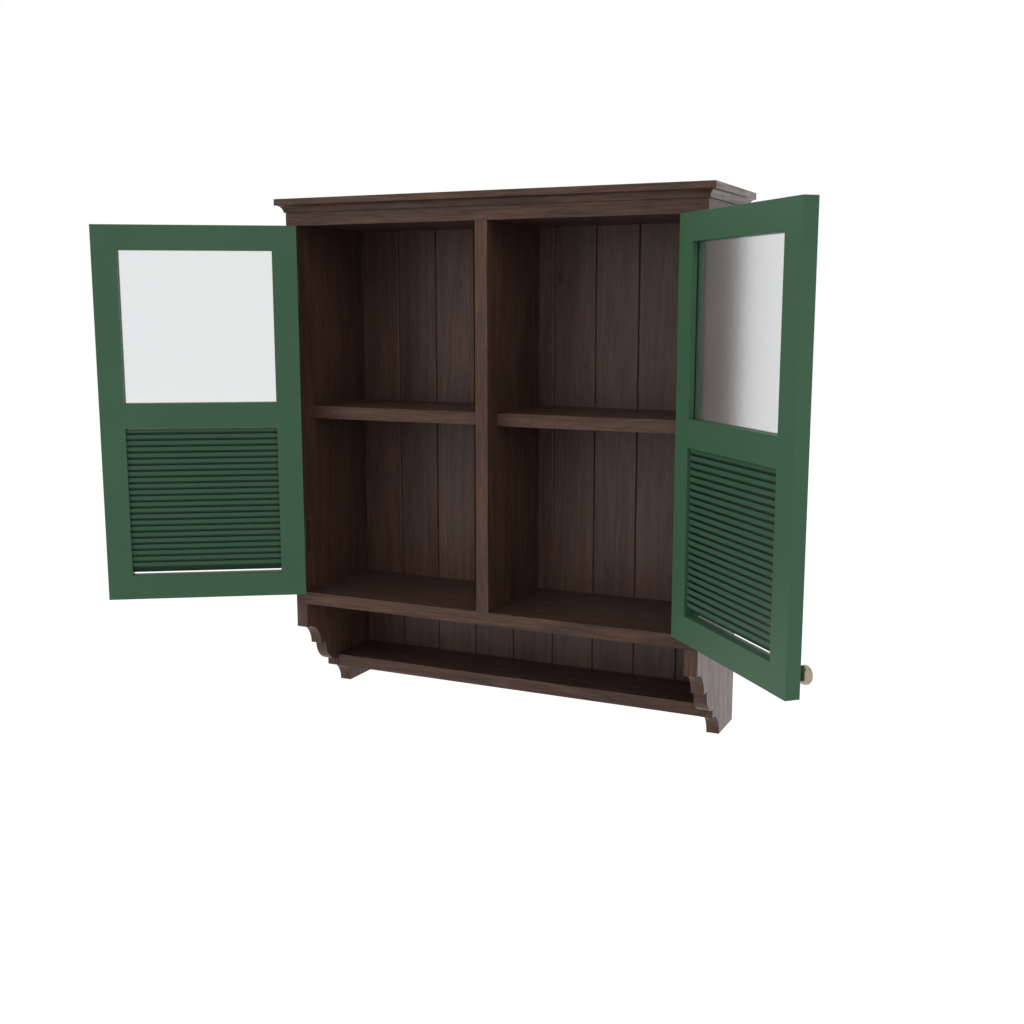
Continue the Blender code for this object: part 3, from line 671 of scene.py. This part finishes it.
def add_screw(bm, centre, outward, radius, turn):
    """Countersunk head, flush but for a low crown, with a slot that shows a sunk floor."""
    outward = Vector(outward)
    up = Vector((0, 0, 1))
    across = up.cross(outward)

    def ring(outline, width, height):
        middle = sum(outline, Vector((0, 0))) / len(outline)
        flat = [middle + (point - middle) * width for point in outline]
        rise = outward * (height * SCREW_RISE)
        return [Vector(centre) + across * p.x + up * p.y + rise for p in flat]

    step = 2 * math.pi / SLOT_FLOOR_STEPS
    floor = [round_point(radius * SLOT_FLOOR_WIDTH, step * k) for k in range(SLOT_FLOOR_STEPS)]
    loft_rings(bm, [ring(floor, 1.0, height) for height in SLOT_FLOOR_HEIGHTS])
    for half in (0, math.pi):
        outline = half_head(radius, turn + half)
        loft_rings(bm, [ring(outline, width, height) for width, height in HEAD_RINGS])


def hinge_screws(label, level, leaf, place, body, material):
    """Three staggered screws in a hinge leaf."""
    side = SIDES[label]
    face, direction = LEAF_FACES[leaf]
    plate_front = FRONT - AXIS_FORWARD + BARREL_RADIUS + JOINT_GAP
    middle = (plate_front + FRONT + LEAF_WIDTH) / 2
    bm = bmesh.new()
    for k in (-1, 0, 1):
        depth = middle + SCREW_STAGGER * (1 - 2 * abs(k))
        centre = (side * face, depth, HINGE_LEVELS[level] + k * SCREW_PITCH)
        add_screw(bm, centre, (side * direction, 0, 0), SCREW_RADIUS, SCREW_TURN + k * SCREW_TURN_STEP)
    add_piece(f"{label}_{level}_hinge_{leaf}_screws", bm, place, body, material)


def hanger_screws(label, material):
    """Two screws in a hanger plate, above and below its keyhole."""
    bm = bmesh.new()
    for k in (-1, 1):
        centre = (SIDES[label] * SIDE_MIDDLE, -JOINT_GAP, HANGER_MIDDLE + k * HANGER_SCREW_PITCH)
        add_screw(bm, centre, (0, 1, 0), HANGER_SCREW_RADIUS, k * HANGER_SCREW_TURN)
    add_piece(f"{label}_hanger_screws", bm, Matrix(), "carcass", material)


def joint_paint(label, material):
    """Paint that fills the shoulder joints of a door on both faces, so that its frame reads as one."""
    side = SIDES[label]
    rear = FRONT + DOOR_THICKNESS
    bm = bmesh.new()
    for rail in RAILS:
        low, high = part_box(f"{label}_door_{rail}_rail")
        levels = (low[2] + EASED_PAINT, high[2] - EASED_PAINT)
        for reach in (STILE, DOOR_WIDTH - STILE - JOINT_GAP):
            start = side * (HINGE_EDGE - reach)
            end = side * (HINGE_EDGE - reach - JOINT_GAP)
            for near, far in ((FRONT, FRONT + PAINT_DEPTH), (rear - PAINT_DEPTH, rear)):
                upright_prism(bm, [(start, near), (end, near), (end, far), (start, far)], levels)
    add_piece(f"{label}_door_joint_paint", bm, opening(label), f"{label}_door", material)


def seam_stopping(material):
    """Stopping in the back seam next to the divider, a hair below the boards that it lies between."""
    seam = STOPPED_SEAM * BACK_PITCH - INNER_FACE
    depths = (SEAM_SINK, BACK_VEE - SEAM_SINK)
    left = [(seam - BACK_VEE + depth, BACK_FACE + depth) for depth in depths]
    right = [(seam + BACK_VEE - depth, BACK_FACE + depth) for depth in reversed(depths)]
    bm = bmesh.new()
    upright_prism(bm, left + right, (OPENING_BOTTOM + JOINT_GAP, OPENING_TOP - JOINT_GAP))
    add_piece("back_seam_stopping", bm, Matrix(), "carcass", material)


# Studio

def emission_for_view(tree, strength):
    """Strength that only what is seen directly, mirrored or through glass receives."""
    path = node(tree, "ShaderNodeLightPath").outputs
    seen = calc(tree, "MAXIMUM", path["Is Camera Ray"], path["Is Glossy Ray"])
    seen = calc(tree, "MAXIMUM", seen, path["Is Transmission Ray"])
    return calc(tree, "MULTIPLY", seen, strength)


def build_floor():
    """Plain pale floor well below the cabinet, as under anything that hangs on a wall."""
    mesh = bpy.data.meshes.new("floor")
    bm = bmesh.new()
    bmesh.ops.create_grid(bm, x_segments=1, y_segments=1, size=FLOOR_REACH)
    bm.to_mesh(mesh)
    bm.free()
    floor = bpy.data.objects.new("floor", mesh)
    bpy.context.scene.collection.objects.link(floor)
    floor.location = (0, 0, FLOOR_LEVEL)
    material, tree, shader = new_material("pale_floor")
    feed(tree, shader, {
        "Base Color": rgba(shaded(WHITE, FLOOR_GREY)),
        "Roughness": FLOOR_ROUGHNESS,
        "Emission Color": rgba(WHITE),
        "Emission Strength": emission_for_view(tree, FLOOR_GLOW),
    })
    mesh.materials.append(material)


def build_world():
    """White all round: plain white to the view, and brighter as light on the cabinet."""
    world = bpy.data.worlds.new("studio")
    bpy.context.scene.world = world
    world.use_nodes = True
    tree = world.node_tree
    strength = calc(tree, "ADD", emission_for_view(tree, 1.0 - SKY_LIGHT), SKY_LIGHT)
    feed(tree, tree.nodes["Background"], {"Color": rgba(WHITE), "Strength": strength})


def build_key_light():
    """Large soft light from the left, which no surface mirrors."""
    data = bpy.data.lights.new("key", "AREA")
    data.size = KEY_SIZE
    data.energy = KEY_POWER
    light = bpy.data.objects.new("key", data)
    bpy.context.scene.collection.objects.link(light)
    light.location = KEY_PLACE
    light.rotation_euler = (Vector(KEY_TARGET) - Vector(KEY_PLACE)).to_track_quat("-Z", "Y").to_euler()
    light.visible_glossy = False


def build_camera():
    data = bpy.data.cameras.new("camera")
    data.sensor_width = SENSOR_WIDTH
    data.lens = CAMERA_LENS
    camera = bpy.data.objects.new("camera", data)
    bpy.context.scene.collection.objects.link(camera)
    camera.location = CAMERA_PLACE
    camera.rotation_euler = (CAMERA_TILT, 0, CAMERA_TURN)
    bpy.context.scene.camera = camera


woods = dress_boards()
finishes = make_finishes()
for label in SIDES:
    dress_side(label, finishes)

seam_stopping(woods[f"back_board_{STOPPED_SEAM + 1}"])
for label in SIDES:
    for level in HINGE_LEVELS:
        hinge_screws(label, level, "frame", Matrix(), "carcass", finishes["bronze"])
        hinge_screws(label, level, "door", opening(label), f"{label}_door", finishes["bronze"])
    hanger_screws(label, finishes["steel"])
    joint_paint(label, finishes["paint"])

build_floor()
build_world()
build_key_light()
build_camera()
bpy.context.scene.view_settings.view_transform = "Standard"
